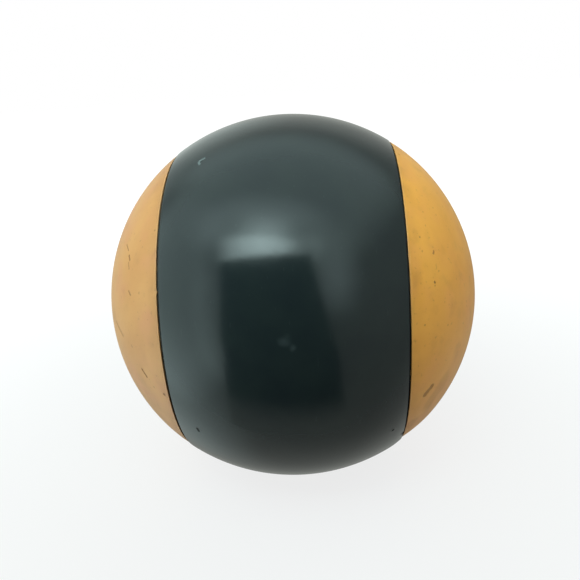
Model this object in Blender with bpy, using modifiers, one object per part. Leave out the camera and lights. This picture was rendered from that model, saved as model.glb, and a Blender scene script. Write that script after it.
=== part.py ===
"""A two-colour croquet ball, for Blender 4.5.

Two thick ochre caps and a dark green band close round a cork composition core. Each cap has a
neck that goes into the band's bore, so the band is held between the two caps' shoulders, and a thin
ring of black jointing fills the bottom of each seam. The ball's axis of turning is X, +Z is up,
and the origin is the ball's centre. All sizes are in metres.
"""

import math

import bmesh
import bpy
from mathutils import Vector

# The ball.
BALL_RADIUS = 0.0459  # over the middle of the band
BAND_WIDTH = 0.0508
SEAM_WIDTH = 0.0005  # between a cap's shoulder and the band's end

# The caps. Both come from one mould.
CAP_DROP = 0.0002  # the caps' sphere is smaller than the ball by this much
CAP_EDGE_ROUND = 0.00025
SHOULDER_DEPTH = 0.0040  # from a cap's rim in to its neck
NECK_WALL = 0.0037  # at the neck's end, round the hollow for the core
NECK_ROOT_FILLET = 0.0005
NECK_CHAMFER = 0.0008

# The band.
RIM_STEP = 0.00045  # its rims stand this far out of the caps' rims
BAND_RIM_ROUND = 0.0010
BORE_CHAMFER = 0.0012

# The jointing rings.
JOINT_RECESS = 0.0006  # from the caps' rim down to the top of the jointing

# Room between pieces that are bonded to each other.
BOND_GAP = 0.0003  # round the necks and the core, and between the two necks
JOINT_GAP = 0.0001  # on each side of a jointing ring

# How finely round shapes are divided.
TURNED_STEPS = 56
CAP_ARC_STEPS = 12
BAND_ARC_STEPS = 14
HOLLOW_ARC_STEPS = 10
FILLET_STEPS = 3
CORE_RINGS = 20
CORE_SEGMENTS = 40
WELD_DISTANCE = 0.00001  # at a pole, and where a turning comes round to its start

BAND_HALF = BAND_WIDTH / 2
SHOULDER = BAND_HALF + SEAM_WIDTH
CAP_RADIUS = BALL_RADIUS - CAP_DROP
CAP_RIM = math.sqrt(CAP_RADIUS**2 - BAND_HALF**2)
BAND_RIM = CAP_RIM + RIM_STEP
NECK_RADIUS = CAP_RIM - SHOULDER_DEPTH
BORE_RADIUS = NECK_RADIUS + BOND_GAP
HOLLOW_RADIUS = NECK_RADIUS - NECK_WALL
CORE_RADIUS = HOLLOW_RADIUS - BOND_GAP


def clear_scene():
    for old in list(bpy.data.objects):
        bpy.data.objects.remove(old, do_unlink=True)


def finish(name, colour, roughness):
    """A plain material with that linear colour and roughness."""
    material = bpy.data.materials.new(name)
    material.use_nodes = True
    shader = material.node_tree.nodes["Principled BSDF"]
    shader.inputs["Base Color"].default_value = (*colour, 1.0)
    shader.inputs["Roughness"].default_value = roughness
    shader.inputs["Metallic"].default_value = 0.0
    return material


def arc(centre, radius, first, last, steps):
    """Profile points (distance from the axis, height) along an arc, angles in radians."""
    angles = [first + (last - first) * i / steps for i in range(steps + 1)]
    return [
        (centre[0] + radius * math.cos(a), centre[1] + radius * math.sin(a)) for a in angles
    ]


def with_fillets(profile):
    """The profile's points, with each (distance, height, fillet) corner turned into an arc."""
    points = []
    for i, corner in enumerate(profile):
        if len(corner) == 2:
            points.append(Vector(corner))
            continue
        *place_of_corner, fillet = corner
        middle = Vector(place_of_corner)
        before = Vector(profile[i - 1][:2])
        after = Vector(profile[(i + 1) % len(profile)][:2])
        back = (before - middle).normalized()
        on = (after - middle).normalized()
        half_angle = back.angle(on) / 2
        reach = fillet / math.tan(half_angle)
        centre = middle + (back + on).normalized() * fillet / math.sin(half_angle)
        start = (middle + back * reach - centre).normalized()
        end = (middle + on * reach - centre).normalized()
        for step in range(FILLET_STEPS + 1):
            points.append(centre + start.slerp(end, step / FILLET_STEPS) * fillet)
    return points


def profile_mesh(name, profile, closed, material):
    """A mesh that holds only the profile, in the XZ plane at +X, for a Screw to turn about Z."""
    points = with_fillets(profile)
    edges = [(i, i + 1) for i in range(len(points) - 1)]
    if closed:
        edges.append((len(points) - 1, 0))
    mesh = bpy.data.meshes.new(name)
    mesh.from_pydata([(p.x, 0.0, p.y) for p in points], edges, [])
    mesh.materials.append(material)
    return mesh


def place(name, mesh, parent, collection, turn, along_x=0.0):
    piece = bpy.data.objects.new(name, mesh)
    piece.rotation_euler = turn
    piece.location = (along_x, 0.0, 0.0)
    piece.parent = parent
    collection.objects.link(piece)
    return piece


def turn_on_axis(piece):
    """Turns the piece's profile about its own Z axis."""
    screw = piece.modifiers.new("turning", "SCREW")
    screw.steps = TURNED_STEPS
    screw.render_steps = TURNED_STEPS
    screw.use_merge_vertices = True
    screw.merge_threshold = WELD_DISTANCE
    screw.use_smooth_shade = True


def cap_profile():
    """One cap, from its pole down the outside, in along the shoulder, down the neck, and up the
    hollow for the core. The outside is a sphere cut at the band's edge and moved out by the seam."""
    rim_angle = math.asin(BAND_HALF / CAP_RADIUS)
    outside = arc((0.0, SEAM_WIDTH), CAP_RADIUS, math.pi / 2, rim_angle, CAP_ARC_STEPS)
    outside[-1] += (CAP_EDGE_ROUND,)
    neck_end = BOND_GAP / 2
    neck = [
        (NECK_RADIUS, SHOULDER, NECK_ROOT_FILLET),
        (NECK_RADIUS, neck_end + NECK_CHAMFER),
        (NECK_RADIUS - NECK_CHAMFER, neck_end),
    ]
    mouth_angle = math.asin(neck_end / HOLLOW_RADIUS)
    hollow = arc((0.0, 0.0), HOLLOW_RADIUS, mouth_angle, math.pi / 2, HOLLOW_ARC_STEPS)
    return outside + neck + hollow


def band_profile():
    """The band: an arc through its middle and its two rims, which is a little flatter than the
    ball, its two flat ends, and a straight bore for the necks."""
    rise = BALL_RADIUS - BAND_RIM
    crown = (BAND_HALF**2 + rise**2) / (2 * rise)
    rim_angle = math.asin(BAND_HALF / crown)
    outside = arc((BALL_RADIUS - crown, 0.0), crown, rim_angle, -rim_angle, BAND_ARC_STEPS)
    outside[0] += (BAND_RIM_ROUND,)
    outside[-1] += (BAND_RIM_ROUND,)
    bore = [
        (BORE_RADIUS + BORE_CHAMFER, -BAND_HALF),
        (BORE_RADIUS, BORE_CHAMFER - BAND_HALF),
        (BORE_RADIUS, BAND_HALF - BORE_CHAMFER),
        (BORE_RADIUS + BORE_CHAMFER, BAND_HALF),
    ]
    return outside + bore


def joint_profile():
    """The flat jointing ring, about its own middle. It clears the fillet at the neck's root."""
    inner = NECK_RADIUS + NECK_ROOT_FILLET + BOND_GAP
    outer = CAP_RIM - JOINT_RECESS
    half = SEAM_WIDTH / 2 - JOINT_GAP
    return [(outer, half), (outer, -half), (inner, -half), (inner, half)]


def core_mesh(material):
    """The core is a moulded ball. Its poles lie on the ball's own axis once it is turned."""
    mesh = bpy.data.meshes.new("core")
    shape = bmesh.new()
    bmesh.ops.create_uvsphere(
        shape, u_segments=CORE_SEGMENTS, v_segments=CORE_RINGS, radius=CORE_RADIUS
    )
    shape.to_mesh(mesh)
    shape.free()
    mesh.materials.append(material)
    mesh.shade_smooth()
    return mesh


def build():
    clear_scene()
    collection = bpy.data.collections.new("croquet_ball")
    bpy.context.scene.collection.children.link(collection)
    centre = bpy.data.objects.new("ball_centre", None)
    collection.objects.link(centre)

    ochre = finish("ochre_plastic", (0.58, 0.34, 0.11), 0.42)
    green = finish("green_plastic", (0.015, 0.036, 0.036), 0.30)
    black = finish("black_jointing", (0.006, 0.005, 0.004), 0.80)
    cork = finish("cork_composition", (0.25, 0.13, 0.06), 0.90)

    towards_right = (0.0, math.pi / 2, 0.0)
    towards_left = (0.0, -math.pi / 2, 0.0)
    middle_of_seam = BAND_HALF + SEAM_WIDTH / 2

    cap = profile_mesh("cap", cap_profile(), False, ochre)
    joint = profile_mesh("joint_ring", joint_profile(), True, black)
    band = profile_mesh("band", band_profile(), True, green)
    for side, turn, way in (("right", towards_right, 1), ("left", towards_left, -1)):
        turn_on_axis(place(f"{side}_cap", cap, centre, collection, turn))
        ring = place(f"{side}_joint_ring", joint, centre, collection, turn, way * middle_of_seam)
        turn_on_axis(ring)
    turn_on_axis(place("centre_band", band, centre, collection, towards_right))
    place("core", core_mesh(cork), centre, collection, towards_right)


build()
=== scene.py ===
# %% [markdown]
# # A worn two-colour croquet ball
# A full-size croquet ball is about 92 mm across and weighs a pound. This one is put together from a
# few turned pieces that share one axis: an ochre cap on each side, a dark green band between them, a
# thin ring of black jointing in each seam, and a cork core that nobody sees. The frame already holds
# them as plain solids in the right places. This lesson makes the fine surfaces round that frame: the
# worn rims, the nicks and the two plastics. The ball's axis is X, and Z is up.

# %% Load the frame
import math
import random

import bmesh
import bpy
import numpy as np
from mathutils import Matrix, Quaternion, Vector, noise


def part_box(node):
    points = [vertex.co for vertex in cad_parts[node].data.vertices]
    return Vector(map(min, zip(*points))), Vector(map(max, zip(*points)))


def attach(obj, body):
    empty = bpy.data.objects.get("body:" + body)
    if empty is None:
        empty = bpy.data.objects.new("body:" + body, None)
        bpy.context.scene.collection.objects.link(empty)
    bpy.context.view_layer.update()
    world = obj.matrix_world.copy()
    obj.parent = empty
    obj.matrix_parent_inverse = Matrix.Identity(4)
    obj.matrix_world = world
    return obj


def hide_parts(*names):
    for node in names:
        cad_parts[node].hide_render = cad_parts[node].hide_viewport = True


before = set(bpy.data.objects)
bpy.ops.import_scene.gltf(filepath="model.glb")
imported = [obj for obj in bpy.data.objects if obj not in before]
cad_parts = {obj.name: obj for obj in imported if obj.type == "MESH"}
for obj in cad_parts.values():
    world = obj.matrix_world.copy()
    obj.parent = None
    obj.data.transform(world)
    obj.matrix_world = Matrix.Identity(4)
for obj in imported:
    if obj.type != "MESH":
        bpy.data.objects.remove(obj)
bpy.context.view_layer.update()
print("frame nodes:", sorted(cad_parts))

# %% [markdown]
# ## Sizes
# Every size that the pieces share comes from the frame, so nothing has to be fitted afterwards. A
# node's box gives its place along the axis. A turned piece's radii are the nearest and the farthest
# that its points get from the axis, so those are measured on the points themselves.

# %% Measure the frame
MM = 0.001


def radii(node):
    """The smallest and the largest distance of a node's points from the ball's axis."""
    out = [math.hypot(v.co.y, v.co.z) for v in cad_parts[node].data.vertices]
    return min(out), max(out)


BALL_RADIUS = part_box("centre_band")[1].z
BAND_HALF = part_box("centre_band")[1].x
BORE_RADIUS = radii("centre_band")[0]
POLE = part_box("right_cap")[1].x
NECK_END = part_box("right_cap")[0].x
JOINT_OUTER = radii("right_joint_ring")[1]
JOINT_INNER = radii("right_joint_ring")[0]
CORE_RADIUS = radii("core")[1]
seam_middle = (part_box("right_joint_ring")[0].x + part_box("right_joint_ring")[1].x) / 2
SEAM = 2 * (seam_middle - BAND_HALF)
print(f"ball radius {BALL_RADIUS / MM:.2f} mm, seam {SEAM / MM:.2f} mm wide")
print(f"band {2 * BAND_HALF / MM:.1f} mm wide")

# %% [markdown]
# ## Camera
# The camera comes before the pieces, because it decides how much detail is worth making. It is held
# close to the ball, at three and a half radii, which is why so much less than half of the ball
# shows. It looks down a little, from slightly to the right, and it is not quite level.

# %% Place the camera
CAMERA_DISTANCE = 0.1616
CAMERA_AROUND = math.radians(3.64)
CAMERA_ABOVE = math.radians(20.0)
CAMERA_ROLL = math.radians(-3.66)
LENS_MM = 37.85

camera = bpy.data.objects.new("camera", bpy.data.cameras.new("camera"))
bpy.context.scene.collection.objects.link(camera)
camera_back = Vector(
    (
        math.sin(CAMERA_AROUND) * math.cos(CAMERA_ABOVE),
        -math.cos(CAMERA_AROUND) * math.cos(CAMERA_ABOVE),
        math.sin(CAMERA_ABOVE),
    )
)
aim = (-camera_back).to_track_quat("-Z", "Y") @ Quaternion((0, 0, 1), CAMERA_ROLL)
camera.location = camera_back * CAMERA_DISTANCE
camera.rotation_mode = "QUATERNION"
camera.rotation_quaternion = aim
camera.data.lens = LENS_MM
camera.data.shift_x = -0.0053
camera.data.shift_y = 0.0074
camera.data.clip_start = 0.01
bpy.context.scene.camera = camera
bpy.context.scene.view_settings.view_transform = "Standard"
print("camera at", [round(c, 4) for c in camera.location])

# %% [markdown]
# ## Shader sums
# A finish is a formula: so much brown where there is a mark, a little rougher where it is scuffed.
# Nodes can hold such a formula, but a page of links is hard to read. So one small class wraps a
# node's output, and Python's own signs then add the Math nodes. Everything else, from a noise to a
# colour mix, comes from one method that takes the node's type, its settings and its sockets.

# %% A class for finishes


class Wire:
    """A node's output. Sums and products of wires add Math nodes."""

    def __init__(self, nodes, socket):
        self.nodes = nodes
        self.socket = socket

    def math(self, operation, first, second):
        return self.nodes.add("Math", {"operation": operation}, {0: first, 1: second})["Value"]

    def __add__(self, other):
        return self.math("ADD", self, other)

    def __radd__(self, other):
        return self.math("ADD", other, self)

    def __abs__(self):
        return self.math("ABSOLUTE", self, 0.0)

    def __sub__(self, other):
        return self.math("SUBTRACT", self, other)

    def __rsub__(self, other):
        return self.math("SUBTRACT", other, self)

    def __mul__(self, other):
        return self.math("MULTIPLY", self, other)

    def __rmul__(self, other):
        return self.math("MULTIPLY", other, self)


class Nodes:
    """A node tree that is built node by node."""

    def __init__(self, tree):
        self.tree = tree

    def set(self, node, sockets):
        """Gives each socket, by name or number, its value or its link."""
        for key, value in sockets.items():
            named = [s for s in node.inputs if s.enabled and s.name == key]
            socket = named[0] if named else node.inputs[key]
            if isinstance(value, Wire):
                self.tree.links.new(value.socket, socket)
            else:
                socket.default_value = value

    def add(self, kind, settings=None, sockets=None):
        """Adds a node, and returns its outputs by name."""
        node = self.tree.nodes.new("ShaderNode" + kind)
        for key, value in (settings or {}).items():
            setattr(node, key, value)
        self.set(node, sockets or {})
        return {s.name: Wire(self, s) for s in node.outputs if s.enabled}

    def step(self, value, start, end):
        """0 where the value is at start, 1 where it is at end, and smooth between."""
        sockets = {"Value": value, "From Min": start, "From Max": end}
        return self.add("MapRange", {"interpolation_type": "SMOOTHSTEP"}, sockets)["Result"]

    def mix(self, share, first, second):
        """A colour between two colours."""
        sockets = {"Factor": share, "A": first, "B": second}
        return self.add("Mix", {"data_type": "RGBA"}, sockets)["Result"]


class Finish(Nodes):
    """A material that is built round one Principled shader."""

    def __init__(self, name):
        self.material = bpy.data.materials.new(name)
        self.material.use_nodes = True
        super().__init__(self.material.node_tree)
        self.shader = self.tree.nodes["Principled BSDF"]
        self.place = self.add("TexCoord")["Object"]

    def noise(self, size, detail=2.0, place=None):
        """Cloudy noise from 0 to 1 whose blotches are about that size, in metres."""
        where = place or self.place
        return self.add("TexNoise", None, {"Vector": where, "Scale": 1 / size, "Detail": detail})["Fac"]

    def painted(self, name):
        """What was painted on the piece's points under that name."""
        return self.add("Attribute", {"attribute_name": name})["Fac"]

    def bump(self, height, depth):
        """A normal for a surface whose height goes from 0 to 1, in steps of that depth."""
        sockets = {"Height": height, "Distance": depth, "Strength": 1.0}
        return self.add("Bump", None, sockets)["Normal"]


print("finishes are ready to be mixed")

# %% [markdown]
# ## Turning
# All five outer pieces are bodies of revolution. They could be cut out of spheres and cylinders, but
# a lathe is closer to how such pieces are made and gives clean rings of faces. The profile is drawn
# with one point, as with a pencil: an extrusion draws a straight line, and spinning the point about
# a centre draws an arc. Bevelling a corner point rounds it. A Screw modifier then turns the profile
# once round the axis.

# %% Tools for drawing a profile


def nothing_selected():
    """Leaves edit mode and selects no object."""
    if bpy.context.mode != "OBJECT":
        bpy.ops.object.mode_set(mode="OBJECT")
    bpy.ops.object.select_all(action="DESELECT")


def start_profile(name, along, out):
    """A new piece with one point, that far along the axis and that far out from it."""
    nothing_selected()
    bpy.ops.mesh.primitive_plane_add(size=MM, location=(along, 0, out))
    piece = bpy.context.object
    piece.name = name
    bpy.ops.object.transform_apply(location=True, rotation=True, scale=True)
    bpy.ops.object.mode_set(mode="EDIT")
    bpy.ops.mesh.select_mode(type="VERT")
    bpy.ops.mesh.select_all(action="SELECT")
    bpy.ops.mesh.merge(type="CENTER")
    return piece


def pick(piece, test):
    """Selects the points that pass the test, and no others."""
    bpy.ops.mesh.select_all(action="DESELECT")
    shape = bmesh.from_edit_mesh(piece.data)
    chosen = [v for v in shape.verts if test(v.co)]
    for v in chosen:
        v.select = True
    shape.select_flush_mode()
    bmesh.update_edit_mesh(piece.data)
    return len(chosen)


def line_to(piece, along, out):
    """Extrudes the selected point to that place."""
    shape = bmesh.from_edit_mesh(piece.data)
    end = next(v.co for v in shape.verts if v.select)
    move = (along - end.x, 0, out - end.z)
    bpy.ops.mesh.extrude_vertices_move(TRANSFORM_OT_translate={"value": move})


def arc_about(along, out, angle, steps):
    """Spins the selected point about that centre. A positive angle goes from +X towards +Z."""
    centre = (along, 0, out)
    bpy.ops.mesh.spin(steps=steps, angle=angle, center=centre, axis=(0, 1, 0))


def round_corner(piece, along, out, reach, segments):
    """Rounds the corner at that place, starting `reach` before it."""
    corner = Vector((along, 0, out))
    pick(piece, lambda place: (place - corner).length < 0.01 * MM)
    bpy.ops.mesh.bevel(offset=reach, segments=segments, affect="VERTICES")


print("profile tools are ready")

# %% Turn a profile into a solid
TURN_STEPS = 384


def clean(piece):
    """Merges points that lie together, faces everything outwards and shades it smooth."""
    nothing_selected()
    piece.select_set(True)
    bpy.context.view_layer.objects.active = piece
    bpy.ops.object.mode_set(mode="EDIT")
    bpy.ops.mesh.select_all(action="SELECT")
    bpy.ops.mesh.remove_doubles(threshold=0.001 * MM)
    bpy.ops.mesh.normals_make_consistent(inside=False)
    bpy.ops.object.mode_set(mode="OBJECT")
    bpy.ops.object.shade_smooth_by_angle(angle=math.radians(35))


def turn(piece):
    """Turns the profile once round the X axis."""
    bpy.ops.object.mode_set(mode="OBJECT")
    screw = piece.modifiers.new("turning", "SCREW")
    screw.axis = "X"
    screw.steps = screw.render_steps = TURN_STEPS
    screw.use_merge_vertices = True
    screw.merge_threshold = 0.001 * MM
    bpy.ops.object.modifier_apply(modifier=screw.name)
    clean(piece)
    print(f"{piece.name}: {len(piece.data.polygons)} faces")


# %% [markdown]
# ## The caps
# A cap is a thick plastic dome. Its outside is part of a sphere, moved out along the axis by the
# width of the seam. A flat shoulder runs in from the rim, and a neck goes on into the band as far as
# the ball's middle, hollowed for the core. The rim's corner is rounded by a fifth of a millimetre,
# and that tiny round is worth having: it is the pale line that runs along each seam.

# %% Draw and turn one cap
CAP_RADIUS = POLE - SEAM
SHOULDER = BAND_HALF + SEAM
BOND_GAP = 2 * NECK_END
NECK_RADIUS = BORE_RADIUS - BOND_GAP
HOLLOW_RADIUS = CORE_RADIUS + BOND_GAP
NECK_CHAMFER = 0.8 * MM
CAP_EDGE_ROUND = 0.2 * MM
rim_angle = math.acos(BAND_HALF / CAP_RADIUS)
CAP_RIM = CAP_RADIUS * math.sin(rim_angle)

right_cap = start_profile("right_cap_shell", POLE, 0)
arc_about(SEAM, 0, rim_angle, 80)
line_to(right_cap, SHOULDER, NECK_RADIUS)
line_to(right_cap, NECK_END, NECK_RADIUS)
mouth_angle = math.acos(NECK_END / HOLLOW_RADIUS)
line_to(right_cap, NECK_END, HOLLOW_RADIUS * math.sin(mouth_angle))
arc_about(0, 0, -mouth_angle, 24)
round_corner(right_cap, SHOULDER, CAP_RIM, CAP_EDGE_ROUND, 5)
round_corner(right_cap, SHOULDER, NECK_RADIUS, 2 * CAP_EDGE_ROUND, 3)
round_corner(right_cap, NECK_END, NECK_RADIUS, NECK_CHAMFER, 2)
turn(right_cap)

# %% [markdown]
# Both caps come from one mould, so the other cap is a copy. It is turned half round about Z, and not
# mirrored, because a turn keeps the faces pointing outwards.

# %% Copy the cap to the other side


def copy_of(piece, name):
    """A copy of the piece with its own mesh."""
    nothing_selected()
    piece.select_set(True)
    bpy.context.view_layer.objects.active = piece
    bpy.ops.object.duplicate(linked=False)
    double = bpy.context.object
    double.name = name
    return double


left_cap = copy_of(right_cap, "left_cap_shell")
left_cap.rotation_euler.z = math.pi
bpy.ops.object.transform_apply(location=True, rotation=True, scale=True)
print("two caps,", 2 * len(left_cap.data.polygons), "faces")

# %% [markdown]
# ## The band
# The band is a ring with a straight bore. Its outside is one arc through the middle of the ball and
# the two rims. The rims stand a little prouder than the caps, so years of knocks have rounded them.

# %% Draw and turn the band
RIM_STEP = 0.45 * MM
BAND_RIM_ROUND = 0.3 * MM
BORE_CHAMFER = 1.2 * MM
BAND_RIM = CAP_RIM + RIM_STEP
rise = BALL_RADIUS - BAND_RIM
CROWN_RADIUS = (BAND_HALF**2 + rise**2) / (2 * rise)
CROWN_CENTRE = BALL_RADIUS - CROWN_RADIUS
crown_angle = math.asin(BAND_HALF / CROWN_RADIUS)

band = start_profile("green_band", BAND_HALF, BAND_RIM)
arc_about(0, CROWN_CENTRE, 2 * crown_angle, 90)
line_to(band, -BAND_HALF, BORE_RADIUS + BORE_CHAMFER)
line_to(band, BORE_CHAMFER - BAND_HALF, BORE_RADIUS)
line_to(band, BAND_HALF - BORE_CHAMFER, BORE_RADIUS)
line_to(band, BAND_HALF, BORE_RADIUS + BORE_CHAMFER)
line_to(band, BAND_HALF, BAND_RIM)
for side in (1, -1):
    round_corner(band, side * BAND_HALF, BAND_RIM, BAND_RIM_ROUND, 6)
turn(band)

# %% [markdown]
# ## The jointing
# The seam's filler is soft and black, and it has sunk and crumbled, so a seam is a groove with an
# uneven floor. The ring gets a slightly hollow top here, with enough steps across it, and the
# unevenness is put in later with the rest of the wear.

# %% Draw and turn the jointing rings
JOINT_HALF = 0.46 * SEAM
JOINT_SAG = 0.05 * MM


def jointing(name, middle):
    """A ring of filler whose top is hollow by JOINT_SAG."""
    ring = start_profile(name, middle + JOINT_HALF, JOINT_INNER)
    line_to(ring, middle + JOINT_HALF, JOINT_OUTER)
    hollow = (JOINT_HALF**2 + JOINT_SAG**2) / (2 * JOINT_SAG)
    sweep = 2 * math.asin(JOINT_HALF / hollow)
    arc_about(middle, JOINT_OUTER + hollow - JOINT_SAG, -sweep, 6)
    line_to(ring, middle - JOINT_HALF, JOINT_INNER)
    line_to(ring, middle + JOINT_HALF, JOINT_INNER)
    turn(ring)
    return ring


right_joint = jointing("right_jointing", seam_middle)
left_joint = jointing("left_jointing", -seam_middle)

# %% [markdown]
# ## The core
# The core is a ball of cork granules pressed in a mould with a binder. It starts as a finely divided
# ball. A Displace modifier with a cell texture sinks the joints between the granules, and only
# inwards, so the core still fits the hollow. The mould's two halves leave a low ridge where they met.

# %% Press the core
GRANULE = 3.2 * MM
GRANULE_JOINT = 0.35 * MM
MOULD_RIDGE = 0.25 * MM
RIDGE_HALF_WIDTH = 0.5 * MM

nothing_selected()
bpy.ops.mesh.primitive_ico_sphere_add(subdivisions=7, radius=CORE_RADIUS - MOULD_RIDGE)
core = bpy.context.object
core.name = "cork_core"
cells = bpy.data.textures.new("granules", "VORONOI")
cells.noise_scale = GRANULE
cells.color_mode = "INTENSITY"
cells.weight_1 = -1
cells.weight_2 = 1
press = core.modifiers.new("granules", "DISPLACE")
press.texture = cells
press.texture_coords = "LOCAL"
press.mid_level = 0.35
press.strength = GRANULE_JOINT
bpy.ops.object.modifier_apply(modifier=press.name)


def press_core(piece):
    """Keeps the granules inside the mould, and raises the ridge round its joint."""
    limit = CORE_RADIUS - MOULD_RIDGE
    for v in piece.data.vertices:
        across = abs(v.co.z) / RIDGE_HALF_WIDTH
        ridge = MOULD_RIDGE * max(0.0, 1 - across) * (0.7 + 0.3 * noise.noise(v.co / GRANULE))
        v.co = v.co.normalized() * (min(v.co.length, limit) + ridge)


press_core(core)
clean(core)
reach = [v.co.length / MM for v in core.data.vertices]
print(f"core from {min(reach):.2f} to {max(reach):.2f} mm of {CORE_RADIUS / MM:.2f}")

# %% [markdown]
# ## Wear
# The ball has been hit for years. Its marks are small, so they are made by moving points, as in
# sculpting, but by rule. First comes a description of each skin: an arc turned round the axis, with
# the arc's centre and radius. From it a point's depth under the skin and its outward direction
# follow, wherever the point is.

# %% Describe the skins


class Skin:
    """A turned outside: the arc's centre, along the axis and out from it, and its radius."""

    def __init__(self, along, out, radius):
        self.along = along
        self.out = out
        self.radius = radius

    def read(self, points):
        """Each point's depth under the skin, and the outward direction there."""
        out = np.maximum(np.hypot(points[:, 1], points[:, 2]), 1e-9)
        share = (out - self.out) / out
        offset = points * np.stack([np.ones_like(out), share, share], axis=1)
        offset[:, 0] -= self.along
        length = np.linalg.norm(offset, axis=1)
        return self.radius - length, offset / length[:, None]

    def place(self, along, around):
        """The place on the skin that many mm along, and that many degrees forward from the top."""
        out = self.out + math.sqrt(self.radius**2 - (along * MM - self.along) ** 2)
        turned = math.radians(around)
        return np.array((along * MM, -out * math.sin(turned), out * math.cos(turned)))


skins = {
    right_cap: Skin(SEAM, 0, CAP_RADIUS),
    left_cap: Skin(-SEAM, 0, CAP_RADIUS),
    band: Skin(0, CROWN_CENTRE, CROWN_RADIUS),
}
print("skins of", [piece.name for piece in skins])

# %% [markdown]
# A mark is a short stroke, or a spot when both ends are the same. It has a width and a depth, and it
# may be dirty, where soil has stayed in it, or scuffed, where the plastic has turned pale. One without
# depth is a stain. Marks are given in millimetres along the axis and in degrees round it, because
# those two numbers give a place on any turned piece.

# %% What a mark is


class Mark:
    """A nick, speck, scratch or scuff. Sizes are in mm, and places are (mm along, degrees round)."""

    def __init__(self, start, end=None, width=0.5, depth=0.05, grime=0.0, scuff=0.0):
        self.start = start
        self.end = end or start
        self.width = width * MM
        self.depth = depth * MM
        self.grime = grime
        self.scuff = scuff

    def distance(self, skin, points):
        """How far the points are from the stroke, in half widths."""
        start = skin.place(*self.start)
        stroke = skin.place(*self.end) - start
        offset = points - start
        share = np.clip(offset @ stroke / max(stroke @ stroke, 1e-12), 0, 1)
        away = np.linalg.norm(offset - share[:, None] * stroke, axis=1)
        return away / (self.width / 2)


# %% The marks that can be seen from the front
FRONT_MARKS = {
    band: [
        Mark((-17.3, 25.7), (-16.2, 25.4), width=0.6, depth=0.02, scuff=0.9),
        Mark((-17.4, 26.0), (-17.1, 27.5), width=0.6, depth=0.02, scuff=0.8),
        Mark((-16.7, 26.7), width=0.7, depth=0.12, grime=0.6),
        Mark((0.6, 81), width=2.4, depth=0.01, scuff=0.16),
        Mark((2.2, 83), width=1.5, depth=0.01, scuff=0.14),
        Mark((-20.2, 113.5), (-20.0, 114.5), width=0.9, depth=0.12, grime=1.0),
        Mark((22.3, 120), width=0.8, depth=0.10, grime=0.9),
        Mark((25.3, 129.3), width=1.3, depth=0.35, grime=1.0),
    ],
    left_cap: [
        Mark((-35.3, 44.6), (-34.4, 48.4), width=0.4, depth=0.05, grime=0.75),
        Mark((-34.0, 51.2), (-33.7, 53.2), width=0.55, depth=0.08, grime=1.0),
        Mark((-34.1, 54.2), (-33.8, 56.9), width=0.45, depth=0.04, grime=0.6),
        Mark((-30.6, 67.2), width=0.7, depth=0.03, grime=0.35),
        Mark((-26.7, 46.8), width=0.6, depth=0.05, grime=0.6),
        Mark((-33.8, 66.1), (-33.3, 67.6), width=0.6, depth=0.07, grime=0.7),
        Mark((-39.7, 81.6), (-37.4, 86.4), width=1.1, depth=0.05, grime=0.4),
        Mark((-41.0, 78), width=5, depth=0, grime=0.14),
        Mark((-31, 112), width=8, depth=0, grime=0.10),
        Mark((-32.3, 97.3), (-31.2, 99.7), width=0.55, depth=0.12, grime=1.0),
        Mark((-27.1, 103.7), width=0.9, depth=0.10, grime=0.9),
        Mark((-29.6, 102.7), width=0.6, depth=0.03, grime=0.35),
        Mark((-34.4, 88.9), width=0.7, depth=0.03, grime=0.35),
    ],
    right_cap: [
        Mark((31.7, 56.6), (31.6, 57.3), width=0.6, depth=0.06, grime=0.75),
        Mark((31.5, 67.8), width=0.7, depth=0.07, grime=1.0),
        Mark((32.6, 63.7), width=0.5, depth=0.03, grime=0.35),
        Mark((31.5, 69.0), width=0.4, depth=0.03, grime=0.5),
        Mark((28.7, 52.7), width=0.5, depth=0.05, grime=0.5),
        Mark((29.0, 57.5), width=0.5, depth=0.04, grime=0.4),
        Mark((30.1, 42.1), width=0.4, depth=0.04, grime=0.4),
        Mark((33.4, 39.9), width=0.4, depth=0.04, grime=0.4),
        Mark((32.9, 37.1), width=0.4, depth=0.04, grime=0.4),
        Mark((26.8, 14.3), width=0.6, depth=0.05, grime=0.6),
        Mark((28.9, 81.9), width=0.5, depth=0.04, grime=0.5),
        Mark((34.6, 85.1), width=0.5, depth=0.04, grime=0.4),
        Mark((31.2, 109), (29.6, 111), width=1.5, depth=0.03, grime=0.65),
        Mark((31, 119), (35, 112), width=5, depth=0, grime=0.16),
        Mark((27.5, 126), width=5, depth=0, grime=0.22),
    ],
}
print({piece.name: len(marks) for piece, marks in FRONT_MARKS.items()})

# %% [markdown]
# The rest of the ball is as worn as its front, so the same sorts of mark are scattered there by a
# random generator with a fixed seed, which gives the same ball every time.

# %% Scatter marks over the other sides
BACK_START = 170
BACK_END = 350


def scattered(seed, count, first, last):
    """Marks at random places on the back, the top and the bottom."""
    draw = random.Random(seed)
    marks = []
    for _ in range(count):
        start = (draw.uniform(first, last), draw.uniform(BACK_START, BACK_END))
        width = draw.uniform(0.4, 0.9)
        grime = draw.uniform(0.3, 0.9)
        stroke = draw.random() < 0.25
        end = (start[0] + draw.uniform(-2, 2), start[1] + draw.uniform(-3, 3)) if stroke else None
        marks.append(Mark(start, end, width, depth=0.08 * width, grime=grime))
    return marks


ALL_MARKS = {
    band: FRONT_MARKS[band] + scattered(3, 16, -24, 24),
    left_cap: FRONT_MARKS[left_cap] + scattered(5, 22, -43, -27),
    right_cap: FRONT_MARKS[right_cap] + scattered(8, 22, 27, 43),
}
print({piece.name: len(marks) for piece, marks in ALL_MARKS.items()})

# %% [markdown]
# A speck of half a millimetre is no larger than one face of the turning. So the faces under each mark
# are divided first, and only those. The new points lie on flat faces and not quite on the skin, so
# they are then lifted to it, or the shine would show each facet.

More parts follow.
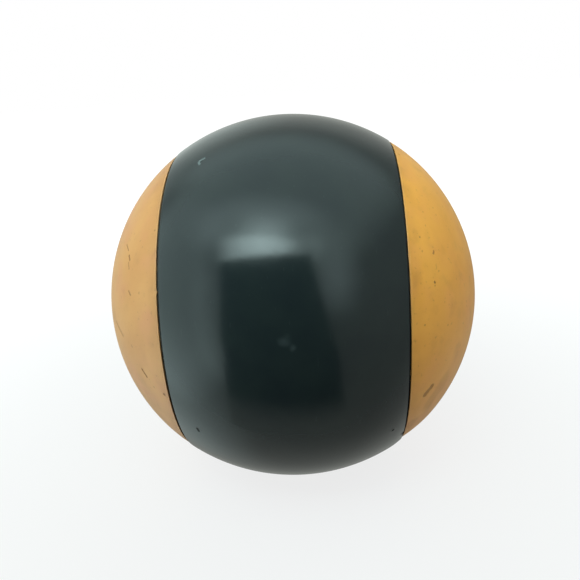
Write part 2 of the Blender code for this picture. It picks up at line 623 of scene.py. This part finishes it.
# %% Divide the faces under the marks
FINE_CUTS = 5
MARK_REACH = 1.6
MARGIN = 0.6 * MM
OUTSIDE_DEPTH = 0.5 * MM
ON_SKIN = 0.02 * MM


def points_of(piece):
    """The piece's points as rows of numbers."""
    rows = np.empty(3 * len(piece.data.vertices))
    piece.data.vertices.foreach_get("co", rows)
    return rows.reshape(-1, 3)


def set_points(piece, points):
    """Moves the piece's points to those rows of numbers."""
    piece.data.vertices.foreach_set("co", points.ravel())
    piece.data.update()


def divide_under(piece, marks):
    """Divides the faces under the marks, and a margin round them, by FINE_CUTS each way."""
    skin = skins[piece]
    nothing_selected()
    bpy.context.view_layer.objects.active = piece
    bpy.ops.object.mode_set(mode="EDIT")
    bpy.ops.mesh.select_mode(type="FACE")
    bpy.ops.mesh.select_all(action="DESELECT")
    bpy.ops.object.mode_set(mode="OBJECT")
    centres = np.array([face.center for face in piece.data.polygons])
    depths, _ = skin.read(centres)
    near = np.zeros(len(centres), dtype=bool)
    for mark in marks:
        if mark.depth > 0:
            near |= mark.distance(skin, centres) < MARK_REACH + MARGIN / mark.width
    near &= depths < OUTSIDE_DEPTH
    piece.data.polygons.foreach_set("select", near)
    bpy.ops.object.mode_set(mode="EDIT")
    bpy.ops.mesh.subdivide(number_cuts=FINE_CUTS)
    bpy.ops.object.mode_set(mode="OBJECT")
    points = points_of(piece)
    depths, outward = skin.read(points)
    lift = np.where(np.abs(depths) < ON_SKIN, depths, 0)
    set_points(piece, points + outward * lift[:, None])
    print(f"{piece.name}: {near.sum()} faces divided, now {len(piece.data.polygons)}")


for piece, marks in ALL_MARKS.items():
    divide_under(piece, marks)

# %% [markdown]
# Now the points move. Each mark is a shallow bowl with a slight lip, its outline made uneven by
# noise. What is dirty or scuffed is painted on the points as two attributes, which the finishes read.

# %% Press the marks in


def roughly(points, size, seed):
    """Noise from about -1 to 1 at each point, in blotches of that size."""
    shift = Vector((seed, -2 * seed, 3 * seed))
    return np.array([noise.noise(Vector(point) / size + shift) for point in points])


def fall(distance, inner, outer):
    """1 up to the inner distance, 0 from the outer one, and smooth between."""
    share = np.clip((outer - distance) / (outer - inner), 0, 1)
    return share * share * (3 - 2 * share)


def press_marks(piece, marks):
    """Dents the piece at its marks, and paints them."""
    skin = skins[piece]
    points = points_of(piece)
    depths, outward = skin.read(points)
    grime = np.zeros(len(points))
    scuff = np.zeros(len(points))
    sunk = np.zeros(len(points))
    for seed, mark in enumerate(marks):
        away = mark.distance(skin, points)
        near = np.flatnonzero((away < 3) & (depths < 1.0 * MM))
        away = away[near] + 0.45 * roughly(points[near], 0.6 * mark.width, seed)
        bowl = fall(away, 0.2, 1.1) - 0.15 * fall(np.abs(away - 1.3), 0.0, 0.4)
        sunk[near] += mark.depth * bowl
        grime[near] = np.maximum(grime[near], mark.grime * fall(away, 0.5, 1.2))
        scuff[near] = np.maximum(scuff[near], mark.scuff * fall(away, 0.1, 1.4))
    set_points(piece, points - outward * sunk[:, None])
    for name, values in (("grime", grime), ("scuff", scuff)):
        paint = piece.data.attributes.new(name, "FLOAT", "POINT")
        paint.data.foreach_set("value", values)


for piece, marks in ALL_MARKS.items():
    press_marks(piece, marks)
print("marks pressed in")

# %% [markdown]
# The rims wear in another way: they lose height over a few millimetres. Low on the right the cap has
# been knocked down the most, so the band's rim stands out there and is worn round itself. A skin is
# also never quite true, so it gets a very slight waviness, which the shine makes visible.

# %% Wear the rims
WAVE_SIZE = 14 * MM
WAVE_DEPTH = 0.012 * MM
RIM_WAVE_SIZE = 5 * MM
KNOCK_AROUND = 138


def around_of(points):
    """Each point's turn from the top towards the front, in degrees."""
    return np.degrees(np.arctan2(-points[:, 1], points[:, 2]))


def wear_rims(piece, reach, loss, knock_reach, knock_loss):
    """Lowers the skin by `loss` over `reach` towards the seams, and by more low on the right."""
    skin = skins[piece]
    points = points_of(piece)
    depths, outward = skin.read(points)
    skinned = fall(depths, 0.3 * MM, 1.5 * MM)
    from_seam = np.abs(np.abs(points[:, 0]) - (BAND_HALF + SEAM / 2))
    uneven = 1 + 0.5 * roughly(points, RIM_WAVE_SIZE, 11)
    sunk = loss * uneven * fall(from_seam, 0, reach) ** 2
    knocked = fall(np.abs(around_of(points) - KNOCK_AROUND), 4, 34) * (points[:, 0] > 0)
    sunk += knock_loss * knocked * fall(from_seam, 0, knock_reach) ** 1.5
    sunk += WAVE_DEPTH * (1 + roughly(points, WAVE_SIZE, 23))
    set_points(piece, points - outward * (sunk * skinned)[:, None])
    print(f"{piece.name}: worn by up to {sunk.max() / MM:.2f} mm")


wear_rims(right_cap, 4 * MM, 0.06 * MM, knock_reach=9 * MM, knock_loss=0.30 * MM)
wear_rims(left_cap, 4 * MM, 0.06 * MM, knock_reach=9 * MM, knock_loss=0.0)
wear_rims(band, 1.5 * MM, 0.03 * MM, knock_reach=3 * MM, knock_loss=0.16 * MM)

# %% [markdown]
# Last come two small things at the seams: a burr on the left cap's edge that leans over the dark
# line, and the crumbling of the jointing.

# %% Burr and crumbs
BURR_ALONG = 0.28 * MM
BURR_HALF_LENGTH = 0.55 * MM
CRUMB_SIZE = 0.8 * MM
CRUMB_DEPTH = 0.18 * MM


def raise_burr(piece, around):
    """Pushes a bit of the cap's edge over the seam."""
    points = points_of(piece)
    edge = np.array((-SHOULDER, *skins[piece].place(-SHOULDER / MM, around)[1:]))
    away = np.linalg.norm(points - edge, axis=1)
    points[:, 0] += BURR_ALONG * fall(away, 0.15 * MM, BURR_HALF_LENGTH)
    set_points(piece, points)


def crumble(piece, seed):
    """Sinks the jointing's top here and there."""
    points = points_of(piece)
    out = np.hypot(points[:, 1], points[:, 2])
    top = fall(JOINT_OUTER - out, 0.1 * MM, 0.5 * MM)
    sunk = top * CRUMB_DEPTH * (0.5 + 0.5 * roughly(points, CRUMB_SIZE, seed))
    points[:, 1:] *= (1 - sunk / out)[:, None]
    set_points(piece, points)


raise_burr(left_cap, 67.2)
crumble(right_joint, 4)
crumble(left_joint, 9)
for piece in (right_cap, left_cap, band, right_joint, left_joint):
    clean(piece)
print("seams done")

# %% [markdown]
# ## Ochre plastic
# The caps are a satin plastic, coloured all the way through. It has yellowed unevenly, so two ochres
# and a pinker one are mixed by large, cloudy noises. The last millimetres before the seam are a little
# darker, in blotches. The very edge is painted paler, partly as rubbed wear and partly as a painted
# highlight along the rounded rim. Soil makes the marks brown and not black. The left cap has faded
# more than the right one, so its ochre is greyer. The right ochre is also painted much brighter:
# painted light that makes up for the dimmer light on the ball's right side.

# %% Mix the ochre
SOIL = (0.19, 0.062, 0.012, 1)
# Pale ochre for scuffs and rubbed wear, and for the painted highlight along the caps' rims.
RUBBED_AND_HIGHLIGHT_OCHRE = (0.72, 0.52, 0.30, 1)


def ochre(name, light, deep, pink):
    """Satin plastic between two ochres, with pinker clouds and faint stains."""
    finish = Finish(name)
    grime = finish.painted("grime")
    scuff = finish.painted("scuff")
    cloud = finish.noise(13 * MM, 3)
    blush = finish.noise(8 * MM, 2)
    stain = finish.noise(5 * MM, 5)
    pores = finish.noise(0.9 * MM, 3)
    along = finish.add("SeparateXYZ", None, {"Vector": finish.place})["X"]
    from_shoulder = abs(along) - SHOULDER
    # The last few tenths of a millimetre before the shoulder: rubbed wear and a painted highlight along
    # the rim.
    rubbed_and_highlit_edge = finish.step(from_shoulder, 0.40 * MM, 0.15 * MM)
    by_seam = finish.step(from_shoulder, 3.5 * MM, 0.2 * MM)
    colour = finish.mix(finish.step(cloud, 0.35, 0.65), light, deep)
    colour = finish.mix(finish.step(blush, 0.45, 0.7) * 0.6, colour, pink)
    colour = finish.mix(finish.step(pores, 0.62, 0.78) * 0.28, colour, SOIL)
    colour = finish.mix(finish.step(stain, 0.52, 0.75) * 0.12, colour, SOIL)
    # Darker, in blotches, over the last 3.5 mm before the seam.
    colour = finish.mix(by_seam * stain * 0.32, colour, SOIL)
    # The very edge is mixed paler: partly rubbed wear, partly a painted highlight along the rounded
    # rim.
    colour = finish.mix(rubbed_and_highlit_edge * 0.10, colour, RUBBED_AND_HIGHLIGHT_OCHRE)
    colour = finish.mix(scuff * 0.6, colour, RUBBED_AND_HIGHLIGHT_OCHRE)
    colour = finish.mix(grime * 0.85, colour, SOIL)
    finish.set(
        finish.shader,
        {
            "Base Color": colour,
            "Roughness": 0.34 + 0.12 * finish.noise(4 * MM, 3) + 0.25 * scuff + 0.2 * grime,
            "Specular IOR Level": 0.4,
            "Normal": finish.bump(finish.noise(0.7 * MM, 2), 0.004 * MM),
        },
    )
    return finish.material


# The right ochre is painted much brighter than the left one: painted light that makes up for the dimmer
# light on the ball's right side. The left one is also greyer, as it has faded more.
ochre_right_painted_brighter = ochre(
    "ochre_plastic", (0.92, 0.405, 0.067, 1), (0.86, 0.360, 0.054, 1), (0.88, 0.360, 0.084, 1)
)
ochre_left = ochre(
    "faded_ochre_plastic", (0.64, 0.292, 0.089, 1), (0.59, 0.257, 0.075, 1), (0.63, 0.257, 0.105, 1)
)
print("ochres mixed")

# %% [markdown]
# ## Green plastic
# The band is the same sort of plastic in a very dark green, and it is shinier. A dark surface shows
# its colour mostly through what it reflects, so the care goes into the roughness: handling has
# polished some parts and dulled others, and fine hairline scratches cross it.

# %% Mix the green
DUSTY_GREEN = (0.16, 0.20, 0.20, 1)
DARK_SOIL = (0.004, 0.005, 0.005, 1)
HAIRLINE = 0.7 * MM


def hairlines(finish, turn):
    """Fine straight scratches: a noise stretched along one direction and cut to its thin ridges."""
    stretch = {"Vector": finish.place, "Rotation": turn, "Scale": (1.0, 1.0, 0.03)}
    along = finish.add("Mapping", None, stretch)["Vector"]
    ridges = finish.noise(HAIRLINE, 1, along)
    return finish.step(ridges, 0.73, 0.79)


def green(name, light, deep):
    """Semi-gloss dark plastic."""
    finish = Finish(name)
    grime = finish.painted("grime")
    scuff = finish.painted("scuff")
    cloud = finish.noise(9 * MM, 3)
    haze = finish.noise(2.5 * MM, 4)
    scratched = hairlines(finish, (0.5, 0.9, 0.2)) + hairlines(finish, (1.5, -0.6, 0.9))
    colour = finish.mix(finish.step(cloud, 0.3, 0.7), light, deep)
    colour = finish.mix(scratched * 0.03, colour, DUSTY_GREEN)
    colour = finish.mix(scuff * 0.8, colour, DUSTY_GREEN)
    colour = finish.mix(grime * 0.9, colour, DARK_SOIL)
    polish = 0.10 + 0.07 * haze + 0.04 * cloud
    skin = finish.noise(4 * MM, 2) + finish.noise(0.8 * MM, 2) * 0.15
    finish.set(
        finish.shader,
        {
            "Base Color": colour,
            "Roughness": polish + 0.08 * scratched + 0.25 * scuff + 0.3 * grime,
            "IOR": 1.43,
            "Normal": finish.bump(skin, 0.016 * MM),
        },
    )
    return finish.material


green_band = green("green_plastic", (0.0150, 0.0220, 0.0222, 1), (0.0125, 0.0185, 0.0200, 1))
print("green mixed")

# %% [markdown]
# ## Black jointing and cork
# The jointing is matt and nearly black, with soil in it. The left ring is painted much paler, partly as
# dust and partly as painted light that lifts the shade of its deep groove. The cork is a mosaic: each
# granule has its own brown, which a cell texture gives, and dark binder fills the joints between them.

# %% Mix the jointing and the cork


def jointing_finish(name, clean, soiled):
    """Matt filler between its clean and its soiled colour."""
    finish = Finish(name)
    soil = finish.step(finish.noise(1.5 * MM, 3), 0.45, 0.7)
    finish.set(
        finish.shader,
        {
            "Base Color": finish.mix(soil, clean, soiled),
            "Roughness": 0.7 + 0.2 * soil,
            "Normal": finish.bump(finish.noise(0.3 * MM, 2), 0.02 * MM),
        },
    )
    return finish.material


def cork_finish(name):
    """Granules in different browns, and dark joints between them."""
    finish = Finish(name)
    sockets = {"Vector": finish.place, "Scale": 1 / GRANULE}
    cell = finish.add("TexVoronoi", None, sockets)["Color"]
    shade = finish.add("SeparateXYZ", None, {"Vector": cell})["X"]
    edge_settings = {"feature": "DISTANCE_TO_EDGE"}
    edge = finish.add("TexVoronoi", edge_settings, sockets)["Distance"]
    colour = finish.mix(shade, (0.16, 0.075, 0.03, 1), (0.38, 0.22, 0.11, 1))
    colour = finish.mix(finish.step(edge, 0.10, 0.02), colour, (0.035, 0.018, 0.010, 1))
    finish.set(
        finish.shader,
        {
            "Base Color": colour,
            "Roughness": 0.8 + 0.1 * shade,
            "Normal": finish.bump(finish.noise(0.5 * MM, 3), 0.03 * MM),
        },
    )
    return finish.material


black_jointing = jointing_finish(
    "black_jointing", (0.006, 0.005, 0.004, 1), (0.028, 0.018, 0.010, 1)
)
# The left ring is painted much paler: partly dust, partly painted light that lifts the shade of its
# deep groove.
dust_and_painted_light_jointing = jointing_finish(
    "dust_and_painted_light_jointing", (0.070, 0.070, 0.066, 1), (0.150, 0.125, 0.095, 1)
)
cork = cork_finish("cork_composition")
print("jointing and cork mixed")

# %% [markdown]
# ## Stage and light
# The ball lies on a plain pale floor under plain soft light. The floor and the pale dome round it
# are for the camera alone: they are hidden from reflections and from bounced light, because a shiny
# dark ball would otherwise turn white at its edge. The floor glows a little, so that it is as pale as
# the dome, and glows less close to the ball: a painted shadow round the ball's foot.

# %% Floor and dome
DOME_RADIUS = 3.0


def seen_only_by_camera(thing):
    """Hides it from reflections, from bounced light and from shadows."""
    thing.visible_diffuse = False
    thing.visible_glossy = False
    thing.visible_transmission = False
    thing.visible_shadow = False


def glow(finish, colour):
    """Makes the shader shine by itself in that colour."""
    finish.set(finish.shader, {"Emission Color": colour, "Emission Strength": 1.0})


nothing_selected()
bpy.ops.mesh.primitive_circle_add(
    vertices=96, radius=DOME_RADIUS, fill_type="NGON", location=(0, 0, -BALL_RADIUS)
)
floor = bpy.context.object
floor.name = "floor"
bpy.ops.mesh.primitive_uv_sphere_add(segments=64, ring_count=32, radius=DOME_RADIUS)
dome = bpy.context.object
dome.name = "dome"

floor_finish = Finish("floor_paint")
spot = floor_finish.add("VectorMath", {"operation": "LENGTH"}, {0: floor_finish.place})["Value"]
# The glow is dimmed within a few centimetres of the ball: a painted shadow round its foot.
outside_painted_shadow = floor_finish.step(spot, 0.05, 0.30)
glow(floor_finish, floor_finish.mix(outside_painted_shadow, (0.80, 0.80, 0.80, 1), (1, 1, 1, 1)))
floor_finish.set(
    floor_finish.shader,
    {"Base Color": (0.12, 0.12, 0.12, 1), "Roughness": 1.0, "Specular IOR Level": 0.0},
)
dome_finish = Finish("dome_paint")
glow(dome_finish, (1, 1, 1, 1))
dome_finish.set(dome_finish.shader, {"Base Color": (0, 0, 0, 1), "Specular IOR Level": 0.0})

for thing, paint in ((floor, floor_finish), (dome, dome_finish)):
    thing.data.materials.append(paint.material)
    seen_only_by_camera(thing)
print("stage set")

# %% [markdown]
# The light is a room's: a low, bright window in front on the left, with the ceiling above it, a pale
# wall on the left and a pale door on the right. Each is a soft area light aimed at the ball, and it
# fades out towards its edges, because a hard edge would show in the shine. Directions are given as
# the camera sees them, in degrees to the right of it and above it, and sizes as the angle that the
# light fills seen from the ball.

# %% Lights
LIGHT_DISTANCE = 0.9

camera_right = aim @ Vector((1, 0, 0))
camera_up = aim @ Vector((0, 1, 0))


def direction(around, above):
    """The direction that many degrees to the right of the camera and above it, from the ball."""
    turned = math.radians(around)
    raised = math.radians(above)
    level = camera_back * math.cos(turned) + camera_right * math.sin(turned)
    return level * math.cos(raised) + camera_up * math.sin(raised)


def face_ball(thing, around, above):
    """Puts the lamp in that direction, turned to the ball and upright to the camera."""
    towards = direction(around, above)
    side = camera_up.cross(towards).normalized()
    top = towards.cross(side)
    thing.rotation_mode = "QUATERNION"
    thing.rotation_quaternion = Matrix((side, top, towards)).transposed().to_quaternion()
    thing.location = towards * LIGHT_DISTANCE


def spread(degrees):
    """How wide a lamp is, if it fills that angle."""
    return 2 * LIGHT_DISTANCE * math.tan(math.radians(degrees) / 2)


def feather(lamp, edge):
    """Fades the lamp's face out towards its four edges, over that share of it."""
    lamp.use_nodes = True
    face = Nodes(lamp.node_tree)
    ends = face.add("SeparateXYZ", None, {"Vector": face.add("NewGeometry")["Parametric"]})
    shine = 1.0
    for share in (ends["X"], ends["Y"]):
        shine = shine * face.step(share, 0.0, edge) * face.step(share, 1.0, 1 - edge)
    face.set(lamp.node_tree.nodes["Emission"], {"Strength": shine})


def softbox(name, around, above, wide, high, strength, colour, edge=0.3):
    """A soft area light. Its strength is how bright its face is, where 1 is the white of the dome."""
    lamp = bpy.data.lights.new(name, "AREA")
    lamp.shape = "RECTANGLE"
    lamp.size = spread(wide) / (1 - edge)
    lamp.size_y = spread(high) / (1 - edge)
    lamp.energy = strength * 4 * lamp.size * lamp.size_y
    lamp.color = colour
    feather(lamp, edge)
    thing = bpy.data.objects.new(name, lamp)
    bpy.context.scene.collection.objects.link(thing)
    face_ball(thing, around, above)
    thing.visible_camera = False


COOL = (0.76, 1.0, 1.0)
WARM = (0.96, 1.0, 0.93)
softbox("window", -21, 25, 38, 14, 4.3, COOL)
softbox("window_glow", -18, 29, 20, 22, 3.6, COOL, edge=0.5)
softbox("window_right", 8, 25, 16, 14, 1.1, COOL, edge=0.4)
softbox("window_top", -20, 42, 56, 24, 1.0, COOL, edge=0.4)
softbox("ceiling", -10, 68, 96, 76, 0.71, COOL)
softbox("left_wall", -76, -2, 56, 84, 0.85, COOL)
softbox("left_near", -46, -14, 24, 56, 0.38, COOL)
softbox("left_floor", -104, -38, 60, 44, 0.65, COOL, edge=0.5)
softbox("right_floor", 118, -24, 50, 40, 0.2, WARM, edge=0.5)
softbox("door", 24, 12, 18, 32, 1.15, COOL, edge=0.5)
softbox("right_wall", 54, 8, 36, 60, 0.06, WARM, edge=0.4)
softbox("back_left_wall", -140, 20, 50, 70, 0.23, COOL)
softbox("back_wall", 180, 35, 60, 60, 0.19, WARM)
softbox("floor_bounce", -150, -55, 90, 56, 0.05, WARM)

world = bpy.data.worlds.new("room")
world.use_nodes = True
room = world.node_tree.nodes["Background"]
room.inputs["Color"].default_value = (*WARM, 1)
room.inputs["Strength"].default_value = 0.34
bpy.context.scene.world = world
print("lights set")

# %% [markdown]
# Whoever holds the camera stands dark in front of the window, and a black card stands in for them. It
# curves round the ball from above the camera to below it, leans out to the right and draws in on the
# left as it goes down, and pales at its foot. The ball shows it as the dark shape under the highlight,
# whose sharp lower end is the card's top edge.

# %% Hang the dark card
CARD_RADIUS = 0.24
CARD_TOP = 20.5
CARD_BOTTOM = -85
CARD_LEFT = 0.79 * CARD_RADIUS
CARD_RIGHT = 0.25 * CARD_RADIUS
LEAN_PER_DEGREE = 0.005 * CARD_RADIUS
LEFT_STRAIGHT_TO = -20
RIGHT_LEANS_TO = -35
PALER_FROM = -0.200
PALE_AT = -0.237

top = math.radians(CARD_TOP)
card = start_profile("dark_card", CARD_RADIUS * math.cos(top), CARD_RADIUS * math.sin(top))
arc_about(0, 0, math.radians(CARD_BOTTOM - CARD_TOP), 24)
bpy.ops.mesh.select_all(action="SELECT")
bpy.ops.transform.translate(value=(0, -CARD_LEFT, 0))
bpy.ops.mesh.extrude_region_move(TRANSFORM_OT_translate={"value": (0, CARD_LEFT + CARD_RIGHT, 0)})
bpy.ops.object.mode_set(mode="OBJECT")

corners = points_of(card)
height = np.degrees(np.arctan2(corners[:, 2], corners[:, 0]))
lean_right = -np.maximum(RIGHT_LEANS_TO, height)
lean_left = np.maximum(0, LEFT_STRAIGHT_TO - height)
corners[:, 1] += LEAN_PER_DEGREE * np.where(corners[:, 1] > 0, lean_right, lean_left)
set_points(card, corners)
card.rotation_mode = "QUATERNION"
card.rotation_quaternion = (
    Matrix((camera_back, camera_right, camera_up)).transposed().to_quaternion()
)

card_finish = Finish("card_paint")
low = card_finish.add("SeparateXYZ", None, {"Vector": card_finish.place})["Z"]
paler = card_finish.step(low, PALER_FROM, PALE_AT)
glow(card_finish, card_finish.mix(paler, (0, 0, 0, 1), (0.34, 0.36, 0.33, 1)))
card_finish.set(
    card_finish.shader,
    {"Base Color": (0.01, 0.01, 0.01, 1), "Roughness": 1.0, "Specular IOR Level": 0.0},
)
card.data.materials.append(card_finish.material)
card.visible_camera = False
print("card hung,", len(card.data.polygons), "faces")

# %% [markdown]
# ## Hand over
# Each piece gets its finish, rides on the ball's one body, and stands for the solid that it covers.

# %% Name the pieces
for piece, node, slot, finish in (
    (right_cap, "right_cap", "caps", ochre_right_painted_brighter),
    (left_cap, "left_cap", "caps", ochre_left),
    (band, "centre_band", "band", green_band),
    (right_joint, "right_joint_ring", "jointing", black_jointing),
    (left_joint, "left_joint_ring", "jointing", dust_and_painted_light_jointing),
    (core, "core", "core", cork),
):
    piece.data.materials.clear()
    piece.data.materials.append(finish)
    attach(piece, "root")
    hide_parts(node)
    triangles = sum(len(face.vertices) - 2 for face in piece.data.polygons)
    print(f"{piece.name}: {triangles} triangles")
